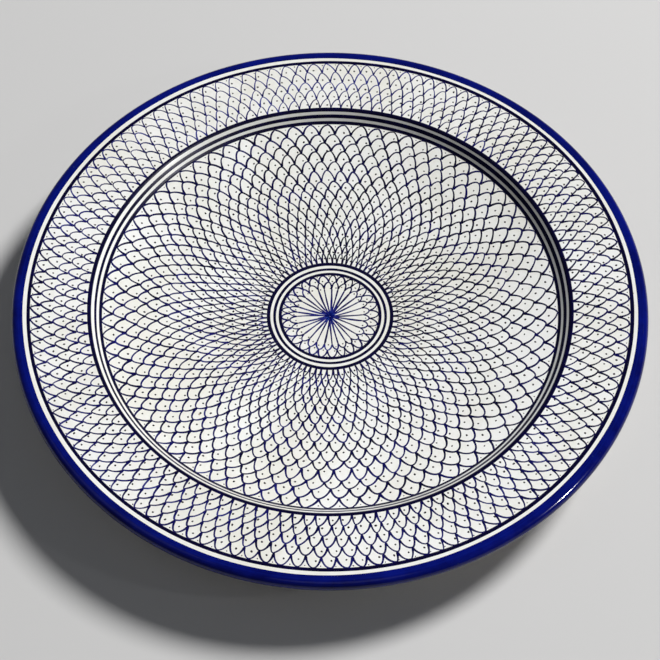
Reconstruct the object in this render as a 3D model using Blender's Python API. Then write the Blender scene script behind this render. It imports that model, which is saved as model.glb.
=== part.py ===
# A large glazed serving plate: a thrown clay body on a foot ring, coated with white glaze,
# with a cobalt glaze over the lip and cobalt banding lines brushed on the face.
# Metres, +Z up. The origin is the middle of the circle that the foot rests on.

import math

import bmesh
import bpy
import numpy as np

# Clay body
plate_diameter = 0.364      # over the glazed lip
flange_width = 0.0437       # from the top of the step out to the edge of the lip
flange_rise = 0.0049        # from the top of the step up to the lip
step_width = 0.0061         # the short steep wall between the well and the flange
step_rise = 0.0066
well_rise = 0.0149          # from the middle of the well up to the foot of the step
floor_thickness = 0.0072    # clay under the well
step_thickness = 0.0072     # clay behind the step
lip_thickness = 0.0062      # clay at the edge of the flange
face_corner_radius = 0.0028     # both corners of the step, on the face
back_corner_radius = 0.0110     # the same two corners, on the back

# Foot ring
foot_diameter = 0.170       # outside, at the ground
foot_width = 0.0080         # at the ground
foot_height = 0.0060        # clearance under the glaze in the middle of the back
foot_flare = 0.0015         # how much each side spreads up to the body
foot_arris = 0.0010         # bevel at the ground

# Coats of glaze
glaze_thickness = 0.0005
seat_gap = 0.0003           # between two pieces that touch
cobalt_on_face = 0.0064     # how far the cobalt comes over the lip, in from the edge
cobalt_on_back = 0.0105

# Banding lines: the thickness of the pigment, then the radius and width of each line
pigment_thickness = 0.0003
rim_line_inset = 0.0098     # from the edge of the plate to the middle of the line
rim_line_width = 0.0020
flange_line_width = 0.0021
step_line_width = 0.0012
well_line_width = 0.0012
medallion_outer_radius = 0.0361
medallion_outer_width = 0.0019
medallion_middle_radius = 0.0325
medallion_middle_width = 0.0016
medallion_inner_radius = 0.0292
medallion_inner_width = 0.0016

# Fineness of the mesh
segments = 48
well_steps = 6
corner_steps = 2
lip_steps = 6
tiny = 1e-5

# Sizes that follow from those above
plate_radius = plate_diameter / 2
step_top_radius = plate_radius - flange_width
well_radius = step_top_radius - step_width
coat = glaze_thickness + seat_gap
floor_wall = floor_thickness + 2 * coat
step_wall = step_thickness + 2 * coat
lip_wall = lip_thickness + 2 * coat
lip_radius = lip_wall / 2
well_height = foot_height + floor_wall


def sideways(curve, distance):
    """Move an outline to the right of its own direction, by one distance or one for each point."""
    ways = np.diff(curve, axis=0)
    ways /= np.linalg.norm(ways, axis=1)[:, None]
    normals = np.column_stack((ways[:, 1], -ways[:, 0]))
    mirror = np.array((-1.0, 1.0))
    first = normals[0] * mirror if curve[0][0] < tiny else normals[0]
    last = normals[-1] * mirror if curve[-1][0] < tiny else normals[-1]
    before = np.vstack((first, normals))
    after = np.vstack((normals, last))
    mitre = (before + after) / (1 + np.sum(before * after, axis=1))[:, None]
    return curve + mitre * np.reshape(distance, (-1, 1))


def rounded(before, corner, after, radius):
    """Points of a fillet in the corner between two runs. It takes less than half of either run."""
    length_in = np.linalg.norm(before - corner)
    length_out = np.linalg.norm(after - corner)
    way_in = (before - corner) / length_in
    way_out = (after - corner) / length_out
    half = math.acos(np.clip(np.dot(way_in, way_out), -1, 1)) / 2
    reach = min(radius / math.tan(half), 0.48 * length_in, 0.48 * length_out)
    bisector = (way_in + way_out) / np.linalg.norm(way_in + way_out)
    centre = corner + bisector * reach / math.cos(half)
    start = corner + way_in * reach - centre
    end = corner + way_out * reach - centre
    turn_angle = math.atan2(start[0] * end[1] - start[1] * end[0], np.dot(start, end))
    points = []
    for index in range(corner_steps + 1):
        angle = turn_angle * index / corner_steps
        cosine, sine = math.cos(angle), math.sin(angle)
        points.append(centre + (start[0] * cosine - start[1] * sine,
                                start[0] * sine + start[1] * cosine))
    return points


def skin_outline():
    """The glazed surface of half the plate, from the middle of the face round to the back's."""
    well = []
    for index in range(well_steps + 1):
        radius = well_radius * index / well_steps
        well.append((radius, well_height + well_rise * (radius / well_radius) ** 2))
    step_top = (step_top_radius, well_height + well_rise + step_rise)
    lip_centre_radius = plate_radius - lip_radius
    shoulder = (lip_centre_radius, step_top[1] + flange_rise)
    face = np.array(well + [step_top, shoulder])

    # the lip is half a circle, square to the flange
    tilt = math.atan2(flange_rise, lip_centre_radius - step_top_radius)
    centre = (shoulder[0], shoulder[1] - lip_radius / math.cos(tilt))
    lip = []
    for index in range(lip_steps + 1):
        angle = math.pi / 2 + tilt - math.pi * index / lip_steps
        lip.append((centre[0] + lip_radius * math.cos(angle),
                    centre[1] + lip_radius * math.sin(angle)))

    # the back lies one wall's thickness behind the face
    walls = [floor_wall] * well_steps + [step_wall, step_wall, lip_wall]
    back = sideways(face, walls)[::-1]
    face_corners = (rounded(face[-4], face[-3], face[-2], face_corner_radius)
                    + rounded(face[-3], face[-2], face[-1], face_corner_radius))
    back_corners = (rounded(lip[-1], back[1], back[2], back_corner_radius)
                    + rounded(back[1], back[2], back[3], back_corner_radius))
    return np.array(list(face[:-3]) + face_corners + lip + back_corners + list(back[3:]))


skin = skin_outline()
runs = np.concatenate(([0.0], np.cumsum(np.linalg.norm(np.diff(skin, axis=0), axis=1))))
outermost = int(np.argmax(skin[:, 0]))


def on_face(radius):
    """Distance along the skin, from the middle of the face, to this radius on the face."""
    return float(np.interp(radius, skin[:outermost + 1, 0], runs[:outermost + 1]))


def on_back(radius):
    """The same distance, to this radius on the back."""
    return float(np.interp(radius, skin[outermost:, 0][::-1], runs[outermost:][::-1]))


def stretch(start, end):
    """The skin between two distances along it."""
    inner = skin[(runs > start + tiny) & (runs < end - tiny)]
    ends = [(np.interp(run, runs, skin[:, 0]), np.interp(run, runs, skin[:, 1]))
            for run in (start, end)]
    return np.vstack((ends[0], inner, ends[1]))


def turned(name, outline, finish):
    """Turn an outline once about Z into a named object. It is closed, unless it ends on the axis."""
    shape = bmesh.new()
    points = [shape.verts.new((max(radius, 0.0), 0.0, height)) for radius, height in outline]
    edges = [shape.edges.new(pair) for pair in zip(points, points[1:])]
    if outline[0][0] > tiny or outline[-1][0] > tiny:
        edges.append(shape.edges.new((points[-1], points[0])))
    bmesh.ops.spin(shape, geom=points + edges, axis=(0, 0, 1), cent=(0, 0, 0),
                   angle=2 * math.pi, steps=segments, use_merge=True)
    bmesh.ops.remove_doubles(shape, verts=shape.verts, dist=tiny)
    bmesh.ops.recalc_face_normals(shape, faces=shape.faces)
    mesh = bpy.data.meshes.new(name)
    shape.to_mesh(mesh)
    shape.free()
    mesh.shade_smooth()
    mesh.set_sharp_from_angle(angle=math.radians(35))
    mesh.materials.append(finish)
    piece = bpy.data.objects.new(name, mesh)
    bpy.context.scene.collection.objects.link(piece)
    return piece


def coating(name, start, end, top, bottom, finish):
    """A layer along a stretch of the skin, between two depths below it."""
    run = stretch(start, end)
    return turned(name, np.vstack((sideways(run, top), sideways(run, bottom)[::-1])), finish)


def finish_of(name, colour, roughness, metallic=0.0):
    """A plain surface of one colour."""
    finish = bpy.data.materials.new(name)
    finish.use_nodes = True
    shader = finish.node_tree.nodes["Principled BSDF"]
    shader.inputs["Base Color"].default_value = (*colour, 1.0)
    shader.inputs["Roughness"].default_value = roughness
    shader.inputs["Metallic"].default_value = metallic
    return finish


def clay_pieces():
    """The thrown body, and the foot ring luted on under it."""
    body = sideways(skin, coat)
    turned("clay_body", body, finish_of("body_biscuit", (0.62, 0.47, 0.33), 0.85))

    outer, inner = foot_diameter / 2, foot_diameter / 2 - foot_width
    seat = sideways(stretch(on_back(outer + foot_flare), on_back(inner - foot_flare)),
                    glaze_thickness)
    sides = [(inner, foot_arris), (inner + foot_arris, 0.0),
             (outer - foot_arris, 0.0), (outer, foot_arris)]
    turned("foot_ring", np.vstack((seat, sides)), finish_of("foot_biscuit", (0.58, 0.43, 0.30), 0.88))


def glaze_pieces():
    """White on the face and back, cobalt over the lip. The foot ring is left bare."""
    cobalt_start = on_face(plate_radius - cobalt_on_face)
    cobalt_end = on_back(plate_radius - cobalt_on_back)
    foot_outside = on_back(foot_diameter / 2 + foot_flare + seat_gap)
    foot_inside = on_back(foot_diameter / 2 - foot_width - foot_flare - seat_gap)
    stretches = (
        ("face_glaze", 0.0, cobalt_start, (0.85, 0.83, 0.74)),
        ("rim_glaze", cobalt_start + seat_gap, cobalt_end - seat_gap, (0.004, 0.010, 0.16)),
        ("back_glaze", cobalt_end, foot_outside, (0.83, 0.80, 0.71)),
        ("foot_well_glaze", foot_inside, float(runs[-1]), (0.83, 0.80, 0.71)),
    )
    for name, start, end, colour in stretches:
        coating(name, start, end, 0.0, glaze_thickness, finish_of(name + "_coat", colour, 0.12))


def banding_lines():
    """Rings of pigment on the face, each laid with one brush on the turning wheel."""
    rings = (
        ("rim_line", plate_radius - rim_line_inset, rim_line_width),
        ("flange_line", step_top_radius, flange_line_width),
        ("step_line", step_top_radius - step_width / 2, step_line_width),
        ("well_line", well_radius, well_line_width),
        ("medallion_outer_line", medallion_outer_radius, medallion_outer_width),
        ("medallion_middle_line", medallion_middle_radius, medallion_middle_width),
        ("medallion_inner_line", medallion_inner_radius, medallion_inner_width),
    )
    for name, radius, width in rings:
        middle = on_face(radius)
        coating(name, middle - width / 2, middle + width / 2, -seat_gap - pigment_thickness,
                -seat_gap, finish_of(name + "_pigment", (0.006, 0.006, 0.05), 0.2))


for old in list(bpy.data.objects):
    bpy.data.objects.remove(old)
clay_pieces()
glaze_pieces()
banding_lines()
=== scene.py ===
# Hand painted serving plate: clay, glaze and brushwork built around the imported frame.
import math

import bpy
import numpy as np
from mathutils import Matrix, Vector
from mathutils.bvhtree import BVHTree


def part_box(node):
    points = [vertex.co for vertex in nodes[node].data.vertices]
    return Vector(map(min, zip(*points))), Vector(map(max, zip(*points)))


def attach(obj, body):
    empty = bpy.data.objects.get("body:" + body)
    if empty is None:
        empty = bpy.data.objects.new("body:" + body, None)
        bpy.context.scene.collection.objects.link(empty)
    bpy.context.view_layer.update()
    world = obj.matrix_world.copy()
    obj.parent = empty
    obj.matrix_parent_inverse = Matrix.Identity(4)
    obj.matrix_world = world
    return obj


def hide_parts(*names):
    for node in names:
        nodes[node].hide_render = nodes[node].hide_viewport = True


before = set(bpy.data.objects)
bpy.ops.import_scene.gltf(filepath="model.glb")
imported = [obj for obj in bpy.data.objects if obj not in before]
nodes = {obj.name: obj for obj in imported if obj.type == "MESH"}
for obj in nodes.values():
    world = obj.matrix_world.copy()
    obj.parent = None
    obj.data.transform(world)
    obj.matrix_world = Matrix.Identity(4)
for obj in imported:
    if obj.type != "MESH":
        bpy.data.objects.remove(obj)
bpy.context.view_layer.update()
scene = bpy.context.scene
mm = 0.001
turn = 2 * math.pi
print("frame loaded,", len(nodes), "nodes")


# what the wheel, the hand and the kiln do to the whole plate
handThrown = {
    "faceCorner": 2.8 * mm,  # rounding of the step, face side
    "backCorner": 11.0 * mm,
    "warp": 0.28 * mm,  # how far the rim rises and falls in the kiln
    "warpWaves": ((2, 1.0, 0.7), (3, 0.45, -1.1)),  # waves round the plate, share, phase
    "oval": 0.20 * mm,
    "ovalPhase": -0.5,
    "ringHeight": 0.020 * mm,  # throwing rings seen through the glaze
    "ringPitch": 9.0 * mm,
    "ringFade": 20 * mm,  # they die out towards the middle
    "ringWaver": 0.9,
    "segments": 360,
    "rowStep": 1.7 * mm,
    "rowTurn": math.radians(7),  # most that a row may bend at a corner
}
angles = np.arange(handThrown["segments"]) * turn / handThrown["segments"]
# where the form is read off the frame, clear of its corners
reading = {
    "nearAxis": 0.1 * mm,
    "besideSeam": 0.01 * mm,  # keeps a ray off the edge between two facets
    "fromStep": 8 * mm,
    "fromLip": 10 * mm,
    "faceClear": 3 * mm,  # room left for the rounding at the foot of the step
    "backClear": 24 * mm,  # and for the one behind it
}


def ringOf(node):
    points = np.array([v.co for v in nodes[node].data.vertices])
    radius = np.hypot(points[:, 0], points[:, 1])
    return {"inner": radius.min(), "outer": radius.max(), "middle": (radius.min() + radius.max()) / 2}


def treeOf(*names):
    corners, faces = [], []
    for name in names:
        mesh = nodes[name].data
        start = len(corners)
        corners += [v.co.copy() for v in mesh.vertices]
        faces += [[start + i for i in p.vertices] for p in mesh.polygons]
    return BVHTree.FromPolygons(corners, faces)


faceTree = treeOf("face_glaze", "rim_glaze")
backTree = treeOf("back_glaze", "rim_glaze", "foot_well_glaze")


def topAt(radius):
    return faceTree.ray_cast(Vector((radius, reading["besideSeam"], 1.0)), Vector((0, 0, -1)))[0].z


def underAt(radius):
    return backTree.ray_cast(Vector((radius, reading["besideSeam"], -1.0)), Vector((0, 0, 1)))[0].z


# radii of the painted lines and of the coats, read off the frame
lineNames = ("rim_line", "flange_line", "step_line", "well_line",
             "medallion_outer_line", "medallion_middle_line", "medallion_inner_line")
lines = {name: ringOf(name) for name in lineNames}
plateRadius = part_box("rim_glaze")[1].x
foot = ringOf("foot_ring")
wellRadius = lines["well_line"]["middle"]
stepTopRadius = lines["flange_line"]["middle"]


def unit(v):
    return v / np.linalg.norm(v)


def roundCorner(before, corner, after, radius, count=9):
    # an arc of that radius in place of the corner, or the most that fits between its neighbours
    wayIn, wayOut = unit(before - corner), unit(after - corner)
    half = math.acos(np.clip(wayIn @ wayOut, -1, 1)) / 2
    reach = min(radius / math.tan(half), 0.48 * np.linalg.norm(before - corner),
                0.48 * np.linalg.norm(after - corner))
    centre = corner + unit(wayIn + wayOut) * reach / math.cos(half)
    start, end = corner + wayIn * reach - centre, corner + wayOut * reach - centre
    sweep = math.atan2(start[0] * end[1] - start[1] * end[0], start @ end)
    points = []
    for angle in np.linspace(0, sweep, count):
        c, s = math.cos(angle), math.sin(angle)
        points.append(centre + (start[0] * c - start[1] * s, start[0] * s + start[1] * c))
    return points


class Outline:
    # a run of (radius, height) points, read by the distance along it and the lift above it
    def __init__(self, points, step=0.25 * mm):
        points = np.array(points, float)
        apart = np.linalg.norm(np.diff(points, axis=0), axis=1)
        points = points[np.concatenate(([True], apart > 1e-6))]
        apart = np.linalg.norm(np.diff(points, axis=0), axis=1)
        run = np.concatenate(([0], np.cumsum(apart)))
        self.length = run[-1]
        self.run = np.linspace(0, run[-1], int(run[-1] / step) + 2)
        self.radius = np.interp(self.run, run, points[:, 0])
        self.height = np.interp(self.run, run, points[:, 1])
        wayR, wayZ = np.gradient(self.radius), np.gradient(self.height)
        length = np.hypot(wayR, wayZ)
        self.normalR, self.normalZ = -wayZ / length, wayR / length
        bend = np.abs(np.gradient(np.unwrap(np.arctan2(wayZ, wayR)), self.run))
        crowd = 1 / handThrown["rowStep"] + bend / handThrown["rowTurn"]
        self.crowd = np.concatenate(([0], np.cumsum((crowd[1:] + crowd[:-1]) / 2 * np.diff(self.run))))

    def normalAt(self, run):
        return np.interp(run, self.run, self.normalR), np.interp(run, self.run, self.normalZ)

    def at(self, run, lift):
        normalR, normalZ = self.normalAt(run)
        return (np.interp(run, self.run, self.radius) + lift * normalR,
                np.interp(run, self.run, self.height) + lift * normalZ)

    def rows(self, start, end, coarse=1):
        # rows from start to end, closer together where the outline bends
        first, last = np.interp((start, end), self.run, self.crowd)
        count = max(3, int(abs(last - first) / coarse) + 2)
        return np.interp(np.linspace(first, last, count), self.crowd, self.run)


def makeSkin():
    # one outline for the whole outside, from the middle of the well over the lip to the middle of the back
    form = handThrown
    wellLow = topAt(reading["nearAxis"])
    probe = wellRadius * 2 / 3
    bowl = (topAt(probe) - wellLow) / probe ** 2
    nearStep, nearLip = stepTopRadius + reading["fromStep"], plateRadius - reading["fromLip"]
    slope = (topAt(nearLip) - topAt(nearStep)) / (nearLip - nearStep)
    tilt = math.atan(slope)
    floorWall = wellLow - underAt(reading["nearAxis"])
    lipRadius = (topAt(nearLip) - underAt(nearLip)) * math.cos(tilt) / 2

    def flangeTop(radius):
        return np.array((radius, topAt(nearStep) + slope * (radius - nearStep)))

    radii = np.linspace(0, wellRadius, 60)
    well = [np.array((r, wellLow + bowl * r * r)) for r in radii]
    stepTop = flangeTop(stepTopRadius)
    shoulder = flangeTop(plateRadius - lipRadius - lipRadius * math.sin(tilt))
    centre = shoulder + lipRadius * np.array((math.sin(tilt), -math.cos(tilt)))
    sweep = np.linspace(math.pi / 2 + tilt, tilt - math.pi / 2, 40)
    lip = [centre + lipRadius * np.array((math.cos(a), math.sin(a))) for a in sweep]

    # the back follows the face one wall behind it
    ways = [unit(well[-1] - well[-2]), unit(stepTop - well[-1]), unit(shoulder - stepTop)]
    inward = [np.array((way[1], -way[0])) for way in ways]
    mitres = [(a + b) / (1 + a @ b) * floorWall for a, b in zip(inward, inward[1:])]
    backWell, backStep = well[-1] + mitres[0], stepTop + mitres[1]
    under = [p - (0, floorWall) for p in well[::-1]]
    under = [p for p in under if p[0] < backWell[0] - reading["backClear"]]

    points = [p for p in well if p[0] < wellRadius - reading["faceClear"]]
    points += roundCorner(points[-1], well[-1], stepTop, form["faceCorner"])
    points += roundCorner(well[-1], stepTop, shoulder, form["faceCorner"])
    points += lip
    points += roundCorner(lip[-1], backStep, backWell, form["backCorner"], 24)
    points += roundCorner(backStep, backWell, under[0], form["backCorner"], 24)
    return Outline(points + under)


skin = makeSkin()
outermost = int(np.argmax(skin.radius))
lipRun = skin.run[outermost]


def onFace(radius):
    return np.interp(radius, skin.radius[:outermost + 1], skin.run[:outermost + 1])


def onBack(radius):
    return np.interp(radius, skin.radius[outermost:][::-1], skin.run[outermost:][::-1])


def settle(radius, angle, height):
    # the same small faults move every piece, so coats and brushwork stay on the clay
    form = handThrown
    out = np.clip((radius - foot["outer"]) / (plateRadius - foot["outer"]), 0, None)
    waves = sum(share * np.cos(count * angle + phase) for count, share, phase in form["warpWaves"])
    lift = form["warp"] * out ** 2 * waves
    fade = np.clip(radius / form["ringFade"], 0, 1)
    phase = turn * radius / form["ringPitch"] + form["ringWaver"] * np.sin(angle + 0.4)
    lift = lift + form["ringHeight"] * fade * np.sin(phase)
    wide = radius + form["oval"] * (radius / plateRadius) * np.cos(2 * angle + form["ovalPhase"])
    return np.stack((wide * np.cos(angle), wide * np.sin(angle), height + lift), -1)


def wander(angle, amount, seed, waves):
    # a smooth hand-made waver that closes on itself
    dice = np.random.default_rng(seed)
    total = 0 * angle
    for n in waves:
        total = total + dice.normal() * np.sin(n * angle + dice.uniform(0, turn)) / math.sqrt(n)
    return amount * total


# the flat layout for the bake, middle and reach: seen faces fill the square, tucked ones share its corner
flatSeen = (0.5, 0.49)
flatTucked = (0.912, 0.085)


def makeObject(name, points, faces, material, flatPlan, tucked, load=None, sharp=40):
    # flatPlan: each point laid out flat; tucked: faces that nobody sees; load: pigment at each point
    mesh = bpy.data.meshes.new(name)
    mesh.from_pydata(points.tolist(), [], faces)
    mesh.shade_smooth()
    mesh.set_sharp_from_angle(angle=math.radians(sharp))
    if load is not None:
        layer = mesh.attributes.new("load", "FLOAT", "POINT")
        layer.data.foreach_set("value", np.float32(load).ravel())
    corners = np.zeros(len(mesh.loops), np.int32)
    mesh.loops.foreach_get("vertex_index", corners)
    sizes = np.zeros(len(mesh.polygons), np.int32)
    mesh.polygons.foreach_get("loop_total", sizes)
    hide = np.repeat(np.asarray(tucked, bool), sizes)[:, None]
    plan = flatPlan[corners] / np.abs(flatPlan).max()
    uv = np.where(hide, flatTucked[0] + flatTucked[1] * plan, flatSeen[0] + flatSeen[1] * plan)
    layer = mesh.uv_layers.new(name="OFBake")
    layer.data.foreach_set("uv", np.float32(uv).ravel())
    mesh.materials.append(material)
    piece = bpy.data.objects.new(name, mesh)
    scene.collection.objects.link(piece)
    return piece


def turnShell(name, outline, runs, lifts, material, tuckedFrom, backward=False, load=None):
    # turns a closed run of (distance along the outline, lift) rows; a row may waver with the angle
    count = len(angles)
    runs = np.stack([np.broadcast_to(r, count) for r in runs])
    lifts = np.stack([np.broadcast_to(v, count) for v in lifts])
    radius, height = outline.at(runs, lifts)
    radius = np.maximum(radius, 0)
    points = settle(radius, angles[None, :], height)
    plan = outline.length - runs if backward else runs
    plan = np.stack((plan * np.cos(angles), plan * np.sin(angles)), -1)
    closed = radius[0].max() > reading["nearAxis"] / 2  # or it starts and ends on the axis
    body = list(range(len(radius))) if closed else list(range(1, len(radius) - 1))
    allPoints = points[body].reshape(-1, 3)
    allPlan = plan[body].reshape(-1, 2)
    around = np.arange(count)
    after = (around + 1) % count
    faces, tucked = [], []
    pairs = list(zip(body, body[1:])) + ([(body[-1], body[0])] if closed else [])
    for a, b in pairs:
        p, q = (a - body[0]) * count, (b - body[0]) * count
        faces += np.stack((p + around, q + around, q + after, p + after), -1).tolist()
        tucked += [a in tuckedFrom or b in tuckedFrom] * count
    if not closed:
        tips = np.stack((points[0].mean(0), points[-1].mean(0)))
        tip = len(allPoints)
        allPoints = np.concatenate((allPoints, tips))
        allPlan = np.concatenate((allPlan, np.stack((plan[0].mean(0), plan[-1].mean(0)))))
        last = (len(body) - 1) * count
        faces += np.stack((np.full(count, tip), around, after), -1).tolist()
        faces += np.stack((np.full(count, tip + 1), last + after, last + around), -1).tolist()
        tucked += [0 in tuckedFrom] * count + [len(radius) - 1 in tuckedFrom] * count
    load = None if load is None else np.repeat(np.asarray(load)[body], count)
    if load is not None and not closed:
        load = np.concatenate((load, (load[0], load[-1])))
    return makeObject(name, allPoints, faces, material, allPlan, tucked, load)


def place(piece, slot, *replaced):
    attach(piece, "root")
    if replaced:
        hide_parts(*replaced)


# shader helpers: put adds a node, fill gives its inputs a number, a colour or another node's output
def put(tree, kind, **values):
    node = tree.nodes.new(kind)
    for key, value in values.items():
        setattr(node, key, value)
    return node


def feed(tree, value, socket):
    if hasattr(value, "is_linked"):
        tree.links.new(value, socket)
    else:
        socket.default_value = value


def fill(tree, node, **values):
    for key, value in values.items():
        feed(tree, value, node.inputs[key.replace("_", " ")])
    return node


def newGroup(name, inputs, *outputs):
    # colours are given as four numbers, everything else as one
    group = bpy.data.node_groups.new(name, "ShaderNodeTree")
    for label, value in inputs.items():
        kind = "NodeSocketColor" if isinstance(value, tuple) else "NodeSocketFloat"
        group.interface.new_socket(label, in_out="INPUT", socket_type=kind).default_value = value
    for label in outputs:
        kind = "NodeSocketColor" if label == "Color" else "NodeSocketFloat"
        group.interface.new_socket(label, in_out="OUTPUT", socket_type=kind)
    return group, put(group, "NodeGroupInput").outputs, put(group, "NodeGroupOutput")


def onPiece(tree):
    return put(tree, "ShaderNodeTexCoord").outputs["Object"]


def noise(tree, where, scale, detail=3.0, rough=0.55, warp=0.0):
    node = put(tree, "ShaderNodeTexNoise")
    fill(tree, node, Vector=where, Scale=scale, Detail=detail, Roughness=rough, Distortion=warp)
    return node.outputs["Fac"]


def remap(tree, value, low, high, toLow=0.0, toHigh=1.0, smooth=True):
    node = put(tree, "ShaderNodeMapRange", interpolation_type="SMOOTHSTEP" if smooth else "LINEAR")
    fill(tree, node, Value=value, From_Min=low, From_Max=high, To_Min=toLow, To_Max=toHigh)
    return node.outputs["Result"]


def sums(tree, operation, a, b=0.0):
    node = put(tree, "ShaderNodeMath", operation=operation)
    for socket, value in zip(node.inputs, (a, b)):
        feed(tree, value, socket)
    return node.outputs[0]


def times(tree, a, b):
    return sums(tree, "MULTIPLY", a, b)


def plus(tree, a, b):
    return sums(tree, "ADD", a, b)


def lessOf(tree, a, b):
    return sums(tree, "SUBTRACT", a, b)


def blend(tree, factor, a, b):
    # sockets 6 and 7 are the mix node's two colours, and 2 is its colour result
    node = put(tree, "ShaderNodeMix", data_type="RGBA")
    for socket, value in ((0, factor), (6, a), (7, b)):
        feed(tree, value, node.inputs[socket])
    return node.outputs[2]


def colour(red, green, blue):
    return (red, green, blue, 1.0)


def makeCloudGroup():
    # uneven coat: broad clouds where the glaze ran thick or thin, and a fine mottle
    group, given, out = newGroup(
        "unevenCoat", {"Thin": colour(0.8, 0.8, 0.75), "Thick": colour(0.7, 0.7, 0.7),
                       "Cloud Size": 14.0, "Mottle Size": 160.0}, "Color", "Depth")
    where = onPiece(group)
    clouds = noise(group, where, given["Cloud Size"], 4, 0.6, 0.4)
    mottle = noise(group, where, given["Mottle Size"], 3, 0.6)
    both = plus(group, times(group, clouds, 0.72), times(group, mottle, 0.28))
    depth = remap(group, both, 0.36, 0.66)
    fill(group, out, Color=blend(group, depth, given["Thin"], given["Thick"]), Depth=depth)
    return group


def makeSpeckGroup():
    # iron specks and pinholes: scattered cells, each cut down to a small round spot
    group, given, out = newGroup(
        "specksAndPinholes", {"Density": 260.0, "Spot Size": 0.16, "Share": 0.12}, "Mask")
    where = onPiece(group)
    cells = put(group, "ShaderNodeTexVoronoi", voronoi_dimensions="3D", feature="F1")
    fill(group, cells, Vector=where, Scale=given["Density"])
    apart = fill(group, put(group, "ShaderNodeSeparateColor"), Color=cells.outputs["Color"])
    chosen = sums(group, "LESS_THAN", apart.outputs[0], given["Share"])
    ratio = sums(group, "DIVIDE", cells.outputs["Distance"], given["Spot Size"])
    spot = remap(group, ratio, 0.55, 1.0, 1.0, 0.0)
    fill(group, out, Mask=times(group, chosen, spot))
    return group


def makeSkinGroup():
    # the fired surface: slow ripples, orange peel and fine grain as one height
    group, given, out = newGroup("firedSurface", {"Ripple": 1.0, "Peel": 0.3, "Grain": 0.05}, "Height")
    where = onPiece(group)
    ripple = times(group, noise(group, where, 45, 2, 0.5), given["Ripple"])
    peel = times(group, noise(group, where, 420, 2, 0.5), given["Peel"])
    grain = times(group, noise(group, where, 2600, 3, 0.7), given["Grain"])
    fill(group, out, Height=plus(group, plus(group, ripple, peel), grain))
    return group


def makeWheelGroup():
    # marks of the wheel: fine rings about the axis, wavering a little
    group, given, out = newGroup("wheelMarks", {"Rings": 400.0, "Waver": 0.6}, "Height")
    where = onPiece(group)
    x, y, z = fill(group, put(group, "ShaderNodeSeparateXYZ"), Vector=where).outputs
    radius = sums(group, "SQRT", plus(group, times(group, x, x), times(group, y, y)))
    rings = times(group, plus(group, radius, z), given["Rings"])
    shake = times(group, noise(group, where, 30, 2), given["Waver"])
    packed = fill(group, put(group, "ShaderNodeCombineXYZ"), X=rings, Y=shake)
    fill(group, out, Height=noise(group, packed.outputs[0], 1.0, 4, 0.7))
    return group


cloudGroup = makeCloudGroup()
speckGroup = makeSpeckGroup()
skinGroup = makeSkinGroup()
wheelGroup = makeWheelGroup()


def useGroup(tree, group, **values):
    return fill(tree, put(tree, "ShaderNodeGroup", node_tree=group), **values)


def newMaterial(name):
    material = bpy.data.materials.new(name)
    material.use_nodes = True
    tree = material.node_tree
    return material, tree, tree.nodes["Principled BSDF"]


def bump(tree, shader, height, look):
    strength, distance = look["bump"]
    node = fill(tree, put(tree, "ShaderNodeBump"), Strength=strength, Distance=distance, Height=height)
    fill(tree, shader, Normal=node.outputs[0])


# in each look: clouds are size of clouds and of mottle; specks, holes and grog are density, size, share;
# skin is ripple, peel, grain; rough is where thin, where thick; bump is strength, height
def coatOf(tree, look):
    clouds, mottle = look["clouds"]
    coat = useGroup(tree, cloudGroup, Thin=look["thin"], Thick=look["thick"],
                    Cloud_Size=clouds, Mottle_Size=mottle)
    rough = remap(tree, coat.outputs["Depth"], 0, 1, *look["rough"], False)
    return coat.outputs["Color"], rough


def spotsOf(tree, spots):
    density, size, share = spots
    return useGroup(tree, speckGroup, Density=density, Spot_Size=size, Share=share).outputs["Mask"]


def firedOf(tree, look):
    ripple, peel, grain = look["skin"]
    return useGroup(tree, skinGroup, Ripple=ripple, Peel=peel, Grain=grain).outputs["Height"]


# the white glaze, opaque and creamy; thinner, browner and rougher on the back
glazeLook = {
    "thin": colour(0.835, 0.83, 0.77), "thick": colour(0.93, 0.94, 0.93), "clouds": (13.0, 380.0),
    "speck": colour(0.30, 0.20, 0.11), "specks": (150.0, 0.12, 0.03), "speckStain": 0.75,
    "hole": colour(0.45, 0.40, 0.33), "holes": (310.0, 0.10, 0.05), "holeStain": 0.5,
    "holeDepth": 0.8, "holeRough": 0.35,
    "skin": (1.0, 0.30, 0.02), "rough": (0.17, 0.10), "bump": (0.55, 0.07 * mm),
    "coat": 0.35, "coatRough": 0.05, "ior": 1.52,
}
backLook = dict(
    glazeLook, thin=colour(0.70, 0.62, 0.48), thick=colour(0.84, 0.83, 0.76), clouds=(19.0, 380.0),
    specks=(150.0, 0.12, 0.16), holes=(310.0, 0.10, 0.14), skin=(1.0, 0.6, 0.02), rough=(0.23, 0.16),
    bump=(0.55, 0.12 * mm), coat=0.2)


def makeTinGlaze(name, look):
    material, tree, shader = newMaterial(name)
    coat, rough = coatOf(tree, look)
    iron = spotsOf(tree, look["specks"])
    holes = spotsOf(tree, look["holes"])
    stained = blend(tree, times(tree, iron, look["speckStain"]), coat, look["speck"])
    stained = blend(tree, times(tree, holes, look["holeStain"]), stained, look["hole"])
    rough = plus(tree, rough, times(tree, holes, look["holeRough"]))
    bump(tree, shader, lessOf(tree, firedOf(tree, look), times(tree, holes, look["holeDepth"])), look)
    fill(tree, shader, Base_Color=stained, Roughness=rough, IOR=look["ior"],
         Coat_Weight=look["coat"], Coat_Roughness=look["coatRough"])
    return material


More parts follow.
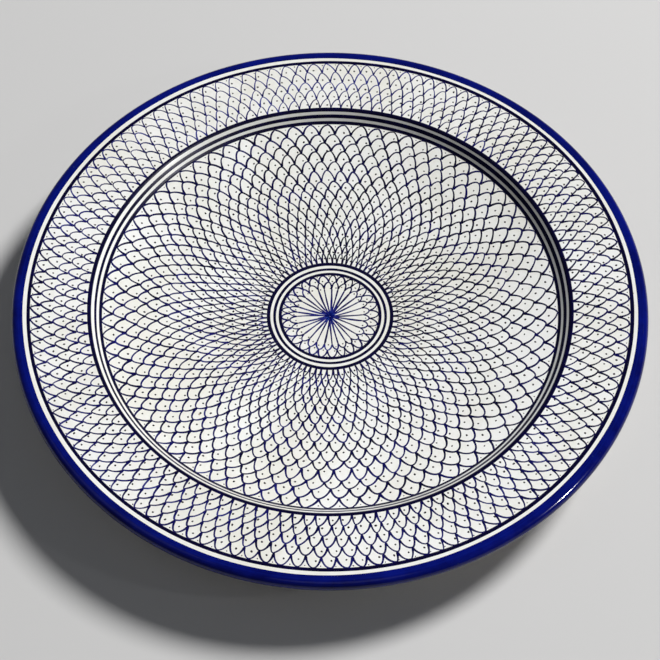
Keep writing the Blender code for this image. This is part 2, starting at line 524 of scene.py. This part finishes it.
# deep blue glaze, darker where it pooled, with soft drag marks of the brush round the rim
cobaltLook = {
    "thin": colour(0.0012, 0.0045, 0.155), "thick": colour(0.0004, 0.001, 0.070), "clouds": (26.0, 300.0),
    "streak": colour(0.0025, 0.012, 0.22), "streakShare": 0.35,
    "dragRings": 620.0, "dragWaver": 0.8, "dragDepth": 0.25,
    "hole": colour(0.03, 0.05, 0.12), "holes": (240.0, 0.11, 0.10), "holeStain": 0.5, "holeDepth": 0.7,
    "skin": (1.1, 0.35, 0.02), "rough": (0.13, 0.07), "bump": (0.5, 0.06 * mm), "ior": 1.32,
}


def makeCobaltGlaze(name, look):
    material, tree, shader = newMaterial(name)
    coat, rough = coatOf(tree, look)
    drag = useGroup(tree, wheelGroup, Rings=look["dragRings"], Waver=look["dragWaver"]).outputs["Height"]
    holes = spotsOf(tree, look["holes"])
    streaks = times(tree, remap(tree, drag, 0.38, 0.64), look["streakShare"])
    streaked = blend(tree, streaks, coat, look["streak"])
    dotted = blend(tree, times(tree, holes, look["holeStain"]), streaked, look["hole"])
    height = lessOf(tree, firedOf(tree, look), times(tree, holes, look["holeDepth"]))
    bump(tree, shader, plus(tree, height, times(tree, drag, look["dragDepth"])), look)
    fill(tree, shader, Base_Color=dotted, Roughness=rough, IOR=look["ior"])
    return material


# brush pigment under a clear glaze: black-blue where loaded, blue where the brush ran dry
pigmentLook = {
    "dry": colour(0.024, 0.032, 0.25), "middle": colour(0.0045, 0.004, 0.10),
    "loaded": colour(0.0018, 0.0012, 0.020),
    "stops": (0.05, 0.45, 0.95),  # load at which each of the three colours is reached
    "poolSize": 120.0, "pooling": 0.8, "washSize": 1500, "washing": 0.35,
    "skin": (0.6, 0.5, 0.1), "rough": (0.38, 0.30), "bump": (0.4, 0.04 * mm), "ior": 1.22,
}
heartLook = dict(pigmentLook, dry=colour(0.012, 0.055, 0.34), middle=colour(0.001, 0.004, 0.12),
                 loaded=colour(0.0008, 0.001, 0.050), poolSize=420.0)
dotLook = dict(pigmentLook, dry=colour(0.10, 0.085, 0.10), middle=colour(0.045, 0.036, 0.040),
               loaded=colour(0.012, 0.009, 0.012))


def makePigment(name, look):
    material, tree, shader = newMaterial(name)
    load = put(tree, "ShaderNodeAttribute", attribute_name="load").outputs["Fac"]
    where = onPiece(tree)
    pooled = noise(tree, where, look["poolSize"], 4, 0.65)
    wash = noise(tree, where, look["washSize"], 2, 0.6)
    amount = plus(tree, load, times(tree, lessOf(tree, pooled, 0.5), look["pooling"]))
    amount = plus(tree, amount, times(tree, lessOf(tree, wash, 0.5), look["washing"]))
    tone = fill(tree, put(tree, "ShaderNodeValToRGB"), Fac=amount)
    ramp = tone.color_ramp
    first, second, third = look["stops"]
    ramp.elements[0].position, ramp.elements[0].color = first, look["dry"]
    ramp.elements[1].position, ramp.elements[1].color = third, look["loaded"]
    ramp.elements.new(second).color = look["middle"]
    rough = remap(tree, wash, 0.3, 0.7, *look["rough"])
    bump(tree, shader, firedOf(tree, look), look)
    fill(tree, shader, Base_Color=tone.outputs["Color"], Roughness=rough, IOR=look["ior"])
    return material


# bare fired clay: grog and fine wheel lines
clayLook = {
    "thin": colour(0.58, 0.34, 0.20), "thick": colour(0.42, 0.22, 0.125), "clouds": (30.0, 420.0),
    "ring": colour(0.36, 0.20, 0.12), "ringShare": 0.4,
    "wheelRings": 1300.0, "wheelWaver": 0.5, "wheelDepth": 0.9,
    "grain": colour(0.68, 0.52, 0.38), "grog": (700.0, 0.28, 0.22), "grogStain": 0.7, "grogDepth": 0.4,
    "skin": (0.5, 0.5, 0.6), "rough": (0.78, 0.92), "bump": (0.8, 0.16 * mm), "ior": 1.45,
}


def makeBiscuit(name, look):
    material, tree, shader = newMaterial(name)
    coat, rough = coatOf(tree, look)
    grog = spotsOf(tree, look["grog"])
    rings = useGroup(tree, wheelGroup, Rings=look["wheelRings"], Waver=look["wheelWaver"]).outputs["Height"]
    ringed = blend(tree, remap(tree, rings, 0.35, 0.65, 0.0, look["ringShare"]), coat, look["ring"])
    grogged = blend(tree, times(tree, grog, look["grogStain"]), ringed, look["grain"])
    height = plus(tree, firedOf(tree, look), times(tree, rings, look["wheelDepth"]))
    bump(tree, shader, lessOf(tree, height, times(tree, grog, look["grogDepth"])), look)
    fill(tree, shader, Base_Color=grogged, Roughness=rough, IOR=look["ior"])
    return material


whiteGlaze = makeTinGlaze("creamyTinGlaze", glazeLook)
thinGlaze = makeTinGlaze("thinBackGlaze", backLook)
cobalt = makeCobaltGlaze("cobaltGlaze", cobaltLook)
pigment = makePigment("brushPigment", pigmentLook)
heartPigment = makePigment("heartPigment", heartLook)
dotPigment = makePigment("dotPigment", dotLook)
biscuit = makeBiscuit("biscuitClay", clayLook)
print("materials made")

# coats of glaze on the clay, one closed shell each
shells = {
    "coat": 0.50 * mm,  # glaze, wet side to clay side
    "clayUnder": 0.56 * mm,  # clay surface below the glazed skin
    "whiteInset": 0.2 * mm,  # the white glaze ends this far inside its solid
    "whiteUnder": 1.2 * mm,  # and runs on this far under the cobalt
    "backUnder": 1.5 * mm,  # the same on the back
    "footClear": 0.3 * mm,  # bare clay between the glaze and the foot
    "cobaltReach": 0.28 * mm,  # how far the cobalt comes in over the white
    "cobaltProud": 0.06 * mm,
    "cobaltFade": 0.9 * mm,  # how far the cobalt's edge thins out
    "cobaltSink": 0.04 * mm,  # how far below the white its thinned edge ends
    "cobaltWaver": 0.14 * mm,  # of its edge on the face; three times as much on the back
    "feather": (0.15, 0.3, 0.6, 1.0),  # extra rows in the thinned edge, as shares of it
}
cobaltOnFace = max(onFace(ringOf("rim_glaze")["inner"]),
                   onFace(ringOf("face_glaze")["outer"]) - shells["whiteInset"])
cobaltOnBack = onBack(ringOf("back_glaze")["outer"])


def level(height):
    # the same height all round a row
    return np.full(1, height)


def coatShell(name, material, start, end, lift, fade=0.0, backward=False):
    # a coat from start to end along the skin, with its clay side tucked away
    rows = skin.rows(np.mean(start), np.mean(end))
    if fade:
        feather = fade * np.array(shells["feather"])
        rows = np.unique(np.concatenate((rows, rows[0] + feather, rows[-1] - feather)))
    part = (rows - rows[0]) / (rows[-1] - rows[0])
    top = [start + (end - start) * p for p in part]
    back = skin.rows(np.mean(end), np.mean(start), 2)
    inner = [start + (end - start) * p for p in (back - rows[0]) / (rows[-1] - rows[0])]
    lifts = lift + 0 * rows
    if fade:
        near = np.minimum(rows - rows[0], rows[-1] - rows)
        lifts = lift - (lift + shells["cobaltSink"]) * (1 - np.clip(near / fade, 0, 1)) ** 2
    runs = top + inner
    heights = [level(v) for v in lifts] + [level(-shells["coat"])] * len(inner)
    tucked = set(range(len(top), len(runs)))
    if np.interp(np.mean(end), skin.run, skin.radius) < reading["nearAxis"]:
        # a coat that ends on the axis is turned from its clay side, so that both its tips lie there
        order = list(range(len(top), len(runs))) + list(range(len(top)))
        runs, heights = [runs[i] for i in order], [heights[i] for i in order]
        tucked = set(range(len(inner)))
    return turnShell(name, skin, runs, heights, material, tucked, backward)


def makeClayBody():
    rows = skin.rows(0, skin.length)
    depths = [level(-shells["clayUnder"])] * len(rows)
    behind = {i for i, run in enumerate(rows) if run > lipRun}
    return turnShell("clayBody", skin, [level(run) for run in rows], depths, biscuit, behind)


def makeRimGlaze():
    waver = shells["cobaltWaver"]
    start = cobaltOnFace - shells["cobaltReach"] + wander(angles, waver, 3, (3, 5, 9, 17, 31))
    end = cobaltOnBack + wander(angles, 3 * waver, 4, (2, 3, 7, 12, 23))
    return coatShell("rimGlaze", cobalt, start, end, shells["cobaltProud"], shells["cobaltFade"])


place(makeClayBody(), "body_clay", "clay_body")
faceGlaze = coatShell("faceGlaze", whiteGlaze, 0.0, cobaltOnFace + shells["whiteUnder"], 0.0)
place(faceGlaze, "white_glaze", "face_glaze")
place(makeRimGlaze(), "cobalt_glaze", "rim_glaze")
footOutside = onBack(foot["outer"] - shells["footClear"])
footInside = onBack(foot["inner"] + shells["footClear"])
backStart = cobaltOnBack - shells["backUnder"]
backGlaze = coatShell("backGlaze", thinGlaze, backStart, footOutside, 0.0, backward=True)
place(backGlaze, "back_white_glaze", "back_glaze")
footWellGlaze = coatShell("footWellGlaze", thinGlaze, footInside, skin.length, 0.0, backward=True)
place(footWellGlaze, "back_white_glaze", "foot_well_glaze")


footCorner = 0.6 * mm
footStep = 0.1 * mm


def makeFootRing():
    # the ring's outline at the first facet, sorted clockwise in (radius, height)
    points = np.array([v.co for v in nodes["foot_ring"].data.vertices])
    radius = np.hypot(points[:, 0], points[:, 1])
    cut = np.abs(np.arctan2(points[:, 1], points[:, 0])) < 0.01
    section = np.unique(np.round(np.stack((radius[cut], points[cut, 2]), -1), 6), axis=0)
    middle = section.mean(0)
    section = section[np.argsort(-np.arctan2(section[:, 1] - middle[1], section[:, 0] - middle[0]))]
    edge = []
    for i, corner in enumerate(section):
        before, after = section[i - 1], section[(i + 1) % len(section)]
        edge += roundCorner(before, corner, after, footCorner, 5)
    outline = Outline(edge + edge[:1], footStep)
    rows = outline.rows(0, outline.length, 0.4)[:-1]
    lifts = [level(0.0)] * len(rows)
    return turnShell("footRing", outline, [level(run) for run in rows], lifts, biscuit, {0})


place(makeFootRing(), "foot_clay", "foot_ring")
print("clay and glaze turned")

# bands pulled with a loaded brush while the wheel turns
bands = {
    "seed": 100,
    "profile": (-1.06, -0.99, -0.8, -0.4, 0, 0.4, 0.8, 0.99, 1.06),  # points across, in half widths
    "edge": 0.020 * mm,  # how proud the pigment stands at its edge
    "crown": 0.030 * mm,  # and how much more in its middle
    "sink": 0.04 * mm,  # how far its outermost points dip into the glaze
    "depth": 0.28 * mm,
    "load": 0.98,
    "edgeFade": 0.2,  # how much less pigment lies at the edges
    "waver": 0.07 * mm,  # of the middle
    "swell": 0.055 * mm,  # of each edge
    # each line in mm: how much wider than its solid inward and outward, and how much more the brush pressed
    # towards one direction round the plate; the step line's extra width towards the right is partly its
    # measured width and partly painted shade on the step wall there
    "lines": {
        "rim_line": (-0.12, 0.15, 0.15, 0.0),
        "flange_line": (0.05, 0.05, 0.26, -0.75),
        # step line: its outer edge, widest towards the right, is partly the brush line and partly painted
        # shade darkening the upper step wall that faces away from the key light
        "step_line": (0.10, 0.50, 0.36, 0.4),
        "well_line": (-0.10, 0.95, 0, 0),
        "medallion_outer_line": (0.08, 0.08, 0, 0),
        "medallion_middle_line": (0, 0, 0, 0),
        "medallion_inner_line": (0.1, 0.1, 0, 0),
    },
}


def pieceName(node):
    first, *others = node.split("_")
    return first + "".join(word.capitalize() for word in others)


def paintBand(node, seed):
    ring = lines[node]
    middle = onFace(ring["middle"]) + wander(angles, bands["waver"], seed, (1, 2, 3, 5))
    half = (onFace(ring["outer"]) - onFace(ring["inner"])) / 2
    inward, outward, pressedAndShade, towards = bands["lines"][node]
    inside = half + inward * mm + wander(angles, bands["swell"], seed + 1, (3, 7, 13, 29, 47))
    outside = half + outward * mm + wander(angles, bands["swell"], seed + 2, (4, 9, 17, 31, 53))
    # extra width towards one side round the plate; on the step line this is partly painted shade on the
    # shaded wall
    outside = outside + pressedAndShade * mm * np.cos(angles - towards)
    across = np.array(bands["profile"])
    top = [middle + np.where(a < 0, inside, outside) * a for a in across]
    lifts = np.where(np.abs(across) < 1, bands["edge"] + bands["crown"] * (1 - across ** 2), -bands["sink"])
    runs = top + [top[-1], middle, top[0]]
    heights = [level(v) for v in lifts] + [level(-bands["depth"])] * 3
    loads = bands["load"] - bands["edgeFade"] * np.concatenate((np.abs(across) ** 3, (1, 1, 1)))
    tucked = set(range(len(top), len(runs)))
    return turnShell(pieceName(node), skin, runs, heights, pigment, tucked, load=loads)


for number, node in enumerate(lineNames):
    place(paintBand(node, bands["seed"] + 10 * number), "line_pigment", node)
print("bands painted")


def onSkin(radius, angle):
    # points of the face at these radii and angles, with the skin's normal and its outward slope there
    run = onFace(radius)
    flatRadius, height = skin.at(run, 0 * run)
    normalR, normalZ = skin.normalAt(run)
    normal = np.stack((normalR * np.cos(angle), normalR * np.sin(angle), normalZ), -1)
    out = np.stack((normalZ * np.cos(angle), normalZ * np.sin(angle), -normalR), -1)
    return settle(flatRadius, angle, height), normal, out


# a stroke is a low bead: five points across, all round it
beadForm = {
    "across": (1.08, 0.90, 0, -0.90, -1.08),  # in half widths
    "rise": (0, 0.7, 1, 0.7, 0),
    "sink": 0.10 * mm,  # how far its lowest points lie in the glaze
    "lowest": 0.35,  # least share of its height where the brush lifts off
    "sharp": 28,  # degrees
}


def layStrokes(name, radius, angle, half, load, material, proud):
    # one row of points for each stroke, all with the same number of points
    middle, normal, _ = onSkin(radius, angle)
    along = np.gradient(middle, axis=1)
    side = np.cross(normal, along)
    side /= np.maximum(np.linalg.norm(side, axis=-1, keepdims=True), 1e-9)
    across, rise = np.array(beadForm["across"]), np.array(beadForm["rise"])
    thickness = proud * np.clip(half / half.max(), beadForm["lowest"], 1)[..., None]
    height = rise * thickness - (rise == 0) * beadForm["sink"]
    points = (middle[..., None, :] + side[..., None, :] * (half[..., None] * across)[..., None]
              + normal[..., None, :] * height[..., None])
    strokes, count, ring = points.shape[:3]
    first = (np.arange(strokes) * count * ring)[:, None]
    base = first[..., None]
    step = (np.arange(count - 1) * ring)[None, :, None]
    corner = np.arange(ring)[None, None, :]
    after = (corner + 1) % ring
    quads = np.stack(np.broadcast_arrays(base + step + corner, base + step + after,
                                         base + step + ring + after, base + step + ring + corner), -1)
    tucked = np.broadcast_to(corner == ring - 1, quads.shape[:3]).ravel().tolist()
    starts = first + np.arange(ring)[::-1]
    ends = first + (count - 1) * ring + np.arange(ring)
    faces = quads.reshape(-1, 4).tolist() + starts.tolist() + ends.tolist()
    tucked += [False] * (2 * strokes)
    flat = points.reshape(-1, 3)
    loads = np.broadcast_to(load[..., None], points.shape[:3]).ravel()
    return makeObject(name, flat, faces, material, flat[:, :2], tucked, loads, beadForm["sharp"])


# a dot is a low dome, a little long in the way the brush left it
dotForm = {
    "sides": 9,
    "stretch": (1.0, 1.18),
    "uneven": 0.10,
    # each ring from the bottom up: size, lift, and lift as a share of the dot's height
    "rings": ((0.55, -0.08 * mm, 0), (1.0, -0.02 * mm, 0), (0.62, 0, 0.85)),
}


def layDots(name, radius, angle, size, load, material, proud):
    dice = np.random.default_rng(len(radius))
    sides = dotForm["sides"]
    middle, normal, out = onSkin(radius, angle)
    side = np.cross(normal, out)
    lean = dice.uniform(0, turn, len(radius))[:, None]
    stretch = dice.uniform(*dotForm["stretch"], len(radius))[:, None]
    a = np.arange(sides) * turn / sides
    uneven = 1 + dotForm["uneven"] * dice.normal(size=(len(radius), sides))
    x, y = np.cos(a) * stretch * uneven, np.sin(a) / stretch * uneven
    u, v = x * np.cos(lean) - y * np.sin(lean), x * np.sin(lean) + y * np.cos(lean)
    rings = []
    for scale, lift, share in dotForm["rings"]:
        flat = (out[:, None] * u[..., None] + side[:, None] * v[..., None]) * (size * scale)[:, None, None]
        rings.append(middle[:, None] + flat + normal[:, None] * (lift + proud * share))
    rings = np.stack(rings, 1)
    top = (middle + normal * proud)[:, None]
    points = np.concatenate((rings.reshape(len(radius), -1, 3), top), 1)
    each = points.shape[1]
    base = (np.arange(len(radius)) * each)[:, None]
    i = np.arange(sides)
    j = (i + 1) % sides
    faces, tucked = [], []
    for low in (0, sides):
        quads = np.stack((base + low + i, base + low + j,
                          base + low + sides + j, base + low + sides + i), -1)
        faces += quads.reshape(-1, 4).tolist()
        tucked += [low == 0] * (len(radius) * sides)
    fans = np.stack(np.broadcast_arrays(base + 2 * sides + i, base + 2 * sides + j, base + 3 * sides), -1)
    faces += fans.reshape(-1, 3).tolist() + (base + i[::-1]).tolist()
    tucked += [False] * (len(radius) * sides) + [True] * len(radius)
    flat = points.reshape(-1, 3)
    loads = np.repeat(load, each)
    return makeObject(name, flat, faces, material, flat[:, :2], tucked, loads, beadForm["sharp"])


# the scale net on the well, painted row by row from the medallion outward
wellNet = {
    "seed": 7, "columns": 75, "rows": 15,
    "drift": ((1, 0.079, 0.39), (2, 0.025, 1.94)),  # hand spacing: waves round, size, phase
    "lean": 0.30,  # how far the rows slip sideways, in cells
    "skew": 0.15,  # how far the top of an arch falls to one side
    "skewTo": 0.92,  # where round the plate it does so most
    "skewLift": 0.5,  # and how much it does so all round
    "pale": 0.0,  # how dry the brush ran
    "paleTo": 1.7,  # and where round the plate
    "rowWaver": 0.42 * mm, "jitter": 0.24 * mm,
    "fullness": (1.72, 1.22),  # roundness of an arch: across, up
    "rounder": 0.26,  # how much rounder on one side of the plate
    "rounderTo": 4.9,
    "half": (0.43 * mm, 0.57 * mm),  # half the brush line, from the first row to the last
    "swell": 0.45,  # thickening where two arches meet
    "load": (0.45, 0.87), "points": 15, "proud": 0.035 * mm,
    "firstDot": 0.55,  # height of a dot under its arch: first row, other rows, outer edge
    "dotLift": 0.17, "edgeDot": 0.80, "dotSize": (0.60 * mm, 0.80 * mm),
}
flangeNet = dict(
    wellNet, seed=19, columns=130, rows=5, drift=((1, 0.018, 2.2), (3, 0.012, 0.6)), lean=0.55,
    rowWaver=0.30 * mm, jitter=0.26 * mm, fullness=(1.76, 1.22), skew=0.24, skewTo=0.2, skewLift=0.0,
    half=(0.49 * mm, 0.51 * mm), swell=0.50, pale=0.40, load=(0.36, 0.80), points=13,
    firstDot=0.42, dotLift=0.30, edgeDot=0.86)
rosetteNet = dict(
    wellNet, seed=31, columns=29, rows=2, drift=((1, 0.05, 1.1), (3, 0.03, 0.3)), lean=0.0,
    rowWaver=0.25 * mm, jitter=0.38 * mm, fullness=(1.85, 1.45), rounder=0.0, skew=0.0,
    half=(0.46 * mm, 0.50 * mm), swell=0.2, load=(0.25, 0.75), dotLift=0.10, firstDot=0.22,
    edgeDot=0.90, dotSize=(0.46 * mm, 0.62 * mm))
# what the painter's hand does in every net
brushHand = {
    "edgeShare": 0.35,  # unevenness left in the first and last rows, where a line guides it
    "slip": (0.45, 2),  # how the sideways slip changes from row to row, and round the plate
    "firstSink": 0.3 * mm,  # the first tips start under the line they stand on
    "lopside": 0.10,
    "width": (0.86, 1.16),
    "ripple": 0.10,  # of the width along a stroke, and how many times
    "ripples": 1.4,
    "endWidth": 0.55,
    "dryThin": 0.7,  # how much thinner a dry stroke is
    "trends": ((0.12, 1, 0.8, 0), (0.10, 5, 0, 1)),  # of the load: size, waves round, phase, step per row
    "footLoad": 0.22,  # extra pigment where a stroke starts and ends
    "dotShake": 1.5,  # of a dot, against that of a tip
    "dotLoad": (0.5, 1.1),
    "edgeShake": (0.15 * mm, 0.2 * mm),
    "edgeSize": 0.62,
}


def netCrossings(look, radii):
    # where the tips of the arches fall: row 0 stands on the inner line
    dice = np.random.default_rng(look["seed"])
    count = look["columns"]
    tips = []
    for row, radius in enumerate(radii):
        even = (np.arange(count) + 0.5 * row) * turn / count
        angle = even
        for waves, size, phase in look["drift"]:
            angle = angle + size * np.sin(waves * even + phase)
        perRow, perTurn = brushHand["slip"]
        slip = look["lean"] * turn / count * np.sin(perRow * row + perTurn * even + look["seed"])
        angle = angle + slip + dice.normal(size=count) * look["jitter"] / radius
        edge = brushHand["edgeShare"] if row in (0, len(radii) - 1) else 1.0
        away = wander(even, look["rowWaver"] * edge, look["seed"] + 50 + row, (1, 2, 4, 7))
        away = away + dice.normal(size=count) * look["jitter"] * edge
        if row == 0:
            away = np.full(count, -brushHand["firstSink"])
        tips.append((angle, radius + away))
    return tips


def archRow(look, row, below, above, dice):
    # one row of arches: each springs from two neighbouring tips of the row below it
    hand = brushHand
    footAngle, footRadius = (values[:, None] for values in below)
    tipAngle, tipRadius = (values[:, None] for values in above)
    nextAngle = np.append(footAngle[1:], footAngle[:1] + turn, axis=0)
    nextRadius = np.roll(footRadius, -1, axis=0)
    count = len(footAngle)
    across = -np.cos(np.linspace(0, math.pi, look["points"]))
    lopsided = look["skew"] * (look["skewLift"] + np.cos(tipAngle - look["skewTo"]))
    reach = np.where(across < 0, tipAngle - footAngle, nextAngle - tipAngle)
    angle = tipAngle + (across + lopsided * (1 - across ** 2)) * reach
    rounder = look["rounder"] * np.clip(np.cos(tipAngle - look["rounderTo"]), 0, 1)
    bend, lift = look["fullness"][0] + rounder, look["fullness"][1] + 0.4 * rounder
    dome = (1 - np.abs(across) ** bend) ** (1 / lift)
    base = np.where(across < 0, footRadius, nextRadius)
    skew = hand["lopside"] * dice.normal(size=(count, 1)) * across * (1 - across ** 2)
    radius = base + (tipRadius - base) * (dome + skew)
    share = dice.uniform(*hand["width"], (count, 1))
    where = np.linspace(0, hand["ripples"], look["points"]) + dice.uniform(0, 1, (count, 1))
    ripple = 1 + hand["ripple"] * np.sin(turn * where)
    swell = 1 + look["swell"] * np.abs(across) ** 6
    half = np.interp(row, (1, look["rows"]), look["half"]) * share * ripple * swell
    half[:, (0, -1)] *= hand["endWidth"]
    dry = look["pale"] * np.clip(np.cos(tipAngle - look["paleTo"]), 0, 1) ** 2
    half = half * (1 - hand["dryThin"] * dry)
    trend = sum(size * np.sin(waves * footAngle + phase + step * row)
                for size, waves, phase, step in hand["trends"])
    load = dice.uniform(*look["load"], (count, 1)) + trend + hand["footLoad"] * np.abs(across) ** 4 - dry
    return radius, angle, half, load


def dotRow(look, row, below, above, dice):
    # one dot under each arch of a row
    (_, footRadius), (tipAngle, tipRadius) = below, above
    count = len(footRadius)
    lift = look["firstDot"] if row == 1 else look["dotLift"]
    middle = (footRadius + np.roll(footRadius, -1)) / 2
    shake = look["jitter"] * brushHand["dotShake"]
    radius = middle + lift * (tipRadius - middle) + dice.normal(size=count) * shake
    angle = tipAngle + dice.normal(size=count) * shake / middle
    return radius, angle, dice.uniform(*look["dotSize"], count), dice.uniform(*brushHand["dotLoad"], count)


def edgeDots(look, below, edge, dice):
    # small dots in the half cells left against the outer line
    footAngle, footRadius = below
    count = len(footAngle)
    outward, sideways = brushHand["edgeShake"]
    radius = footRadius + look["edgeDot"] * (edge - footRadius) + dice.normal(size=count) * outward
    angle = footAngle + dice.normal(size=count) * sideways / footRadius
    size = brushHand["edgeSize"] * dice.uniform(*look["dotSize"], count)
    return radius, angle, size, dice.uniform(*brushHand["dotLoad"], count)


def paintNet(label, look, radii):
    dice = np.random.default_rng(look["seed"] + 1)
    tips = netCrossings(look, radii)
    arches, dots = [], []
    for row in range(1, len(radii)):
        arches.append(archRow(look, row, tips[row - 1], tips[row], dice))
        dots.append(dotRow(look, row, tips[row - 1], tips[row], dice))
    dots.append(edgeDots(look, tips[-2], radii[-1], dice))
    arches = [np.concatenate(parts) for parts in zip(*arches)]
    dots = [np.concatenate(parts) for parts in zip(*dots)]
    place(layStrokes(label + "Scales", *arches, pigment, look["proud"]), "line_pigment")
    place(layDots(label + "Dots", *dots, dotPigment, look["proud"]), "line_pigment")
    print(label, "net painted:", len(arches[0]), "arches,", len(dots[0]), "dots")


def rowsBetween(inner, outer, look):
    return np.linspace(lines[inner]["outer"], lines[outer]["inner"], look["rows"] + 1)


rosetteRows = lines["medallion_inner_line"]["inner"] * np.array((0.690, 0.824, 1.0))
paintNet("well", wellNet, rowsBetween("medallion_outer_line", "well_line", wellNet))
paintNet("flange", flangeNet, rowsBetween("flange_line", "rim_line", flangeNet))
paintNet("rosette", rosetteNet, rosetteRows)


# spokes of the rosette, pulled in from its first tips
spokes = {
    "seed": 5,
    "start": 0.9 * mm,  # distance from the middle
    "points": 16, "half": 0.52 * mm, "width": (0.85, 1.15),
    "swing": 0.14,  # of the width along a spoke, and how many times
    "swings": 1.3, "endWidth": 0.6,
    "sway": 0.22 * mm,  # of its middle
    "stray": 0.30 * mm,  # of its inner end
    "load": (0.35, 0.75),
    "fade": 0.35,  # paler towards the middle
    "proud": 0.04 * mm,
}
# its blue heart, where every stroke began
heart = {
    "seed": 6, "spikes": 29, "points": 12, "start": 0.15 * mm,
    "length": (3.6 * mm, 8.4 * mm), "cut": (0.75, 1.0), "stray": 0.06, "bow": 0.10,
    "half": 0.36 * mm, "tip": 0.09 * mm, "taper": 1.6, "width": (0.8, 1.2),
    "load": 0.90, "fade": 0.85, "loadStray": 0.25, "proud": 0.05 * mm,
}


def paintSpokes(look):
    dice = np.random.default_rng(look["seed"])
    tips = netCrossings(rosetteNet, rosetteRows)[0][0][:, None]
    each = (len(tips), 1)
    part = np.linspace(0, 1, look["points"])
    radius = np.tile(look["start"] + (rosetteRows[0] - look["start"]) * part, each)
    sway = look["sway"] * dice.normal(size=each) * np.sin(math.pi * part)
    stray = look["stray"] * dice.normal(size=each) * (1 - part)
    angle = tips + (sway + stray) / radius
    swing = 1 + look["swing"] * np.sin(turn * (part * look["swings"] + dice.uniform(0, 1, each)))
    half = look["half"] * swing * dice.uniform(*look["width"], each)
    half[:, (0, -1)] *= look["endWidth"]
    load = dice.uniform(*look["load"], each) - look["fade"] * (1 - part) ** 2
    return layStrokes("rosetteSpokes", radius, angle, half, load, pigment, look["proud"])


def paintHeart(look):
    dice = np.random.default_rng(look["seed"])
    each = (look["spikes"], 1)
    part = np.linspace(0, 1, look["points"])
    length = dice.uniform(*look["length"], each) * dice.uniform(*look["cut"], each)
    radius = look["start"] + length * part
    start = np.arange(look["spikes"])[:, None] * turn / look["spikes"]
    start = start + dice.normal(size=each) * look["stray"]
    angle = start + look["bow"] * dice.normal(size=each) * part
    half = look["half"] * (1 - part ** look["taper"]) * dice.uniform(*look["width"], each) + look["tip"]
    load = look["load"] - look["fade"] * part + look["loadStray"] * dice.normal(size=each)
    return layStrokes("rosetteHeart", radius, angle, half, load, heartPigment, look["proud"])


place(paintSpokes(spokes), "line_pigment")
place(paintHeart(heart), "line_pigment")
print("rosette painted")


# floor, light and camera
studio = {
    "floorSize": 6.0,
    "floorTone": colour(0.60, 0.60, 0.60),
    "floorPaler": 1.05,  # brightest clouds of the floor against its tone
    "floorRough": 0.9,
    "worldTone": colour(0.84, 0.88, 0.95),
    "worldPower": 0.09,  # the light it gives
    "backdropPower": 0.42,  # how bright it looks behind the floor
    "lensFocal": 92.7, "sensor": 36.0, "distance": 0.996, "elevation": math.radians(58.2),
    "aimDrop": 8.0 * mm,  # aim this far below the well's middle, down the view
}
# lamps: azimuth from behind the plate (+Y) towards +X and elevation in degrees, distance, size, power,
# colour, and what doesn't see it
white = (1, 1, 1)
lamps = {
    "keySun": (56, 47, 4.4, 1.15, 238, (1.0, 0.99, 0.975), "visible_glossy"),
    "fillLeft": (-95, 60, 2.4, 1.4, 1.3, (0.93, 0.96, 1.0), None),
    "frontSoft": (175, 62, 2.6, 1.2, 1.5, white, None),
    "glint": (109, 35, 2.0, 0.055, 34.0, white, "visible_diffuse"),
}


def makeFloor():
    half = studio["floorSize"] / 2
    mesh = bpy.data.meshes.new("floor")
    corners = [(-half, -half, 0), (half, -half, 0), (half, half, 0), (-half, half, 0)]
    mesh.from_pydata(corners, [], [(0, 1, 2, 3)])
    material, tree, shader = newMaterial("paleFloor")
    where = onPiece(tree)
    cloud = noise(tree, where, 1.5, 3, 0.5)
    tone = studio["floorTone"]
    paler = colour(*(c * studio["floorPaler"] for c in tone[:3]))
    fill(tree, shader, Base_Color=blend(tree, cloud, tone, paler), Roughness=studio["floorRough"])
    mesh.materials.append(material)
    floor = bpy.data.objects.new("floor", mesh)
    floor.location.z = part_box("foot_ring")[0].z
    scene.collection.objects.link(floor)


def makeLamp(name, azimuth, elevation, distance, size, power, tone, unseenBy):
    light = bpy.data.lights.new(name, "AREA")
    light.shape = "DISK"
    light.size, light.energy, light.color = size, power, tone
    lamp = bpy.data.objects.new(name, light)
    a, e = math.radians(azimuth), math.radians(elevation)
    way = Vector((math.sin(a) * math.cos(e), math.cos(a) * math.cos(e), math.sin(e)))
    lamp.location = way * distance
    lamp.rotation_euler = way.to_track_quat("Z", "Y").to_euler()
    if unseenBy:
        setattr(lamp, unseenBy, False)
    scene.collection.objects.link(lamp)


def makeCamera():
    data = bpy.data.cameras.new("camera")
    data.lens, data.sensor_width = studio["lensFocal"], studio["sensor"]
    data.clip_start, data.clip_end = 0.05, 20
    camera = bpy.data.objects.new("camera", data)
    elevation = studio["elevation"]
    back = Vector((0, -math.cos(elevation), math.sin(elevation)))
    up = Vector((0, math.sin(elevation), math.cos(elevation)))
    aim = Vector((0, 0, topAt(reading["nearAxis"]))) - up * studio["aimDrop"]
    camera.location = aim + back * studio["distance"]
    camera.rotation_euler = back.to_track_quat("Z", "Y").to_euler()
    scene.collection.objects.link(camera)
    scene.camera = camera


def makeWorld():
    # a dim soft sky that looks brighter behind the floor than the light it gives
    world = bpy.data.worlds.new("studio")
    world.use_nodes = True
    tree = world.node_tree
    seen = put(tree, "ShaderNodeLightPath").outputs["Is Camera Ray"]
    strength = remap(tree, seen, 0, 1, studio["worldPower"], studio["backdropPower"], False)
    fill(tree, tree.nodes["Background"], Color=studio["worldTone"], Strength=strength)
    scene.world = world


makeFloor()
for name, values in lamps.items():
    makeLamp(name, *values)
makeCamera()
makeWorld()
scene.view_settings.view_transform = "Standard"
print("studio set")
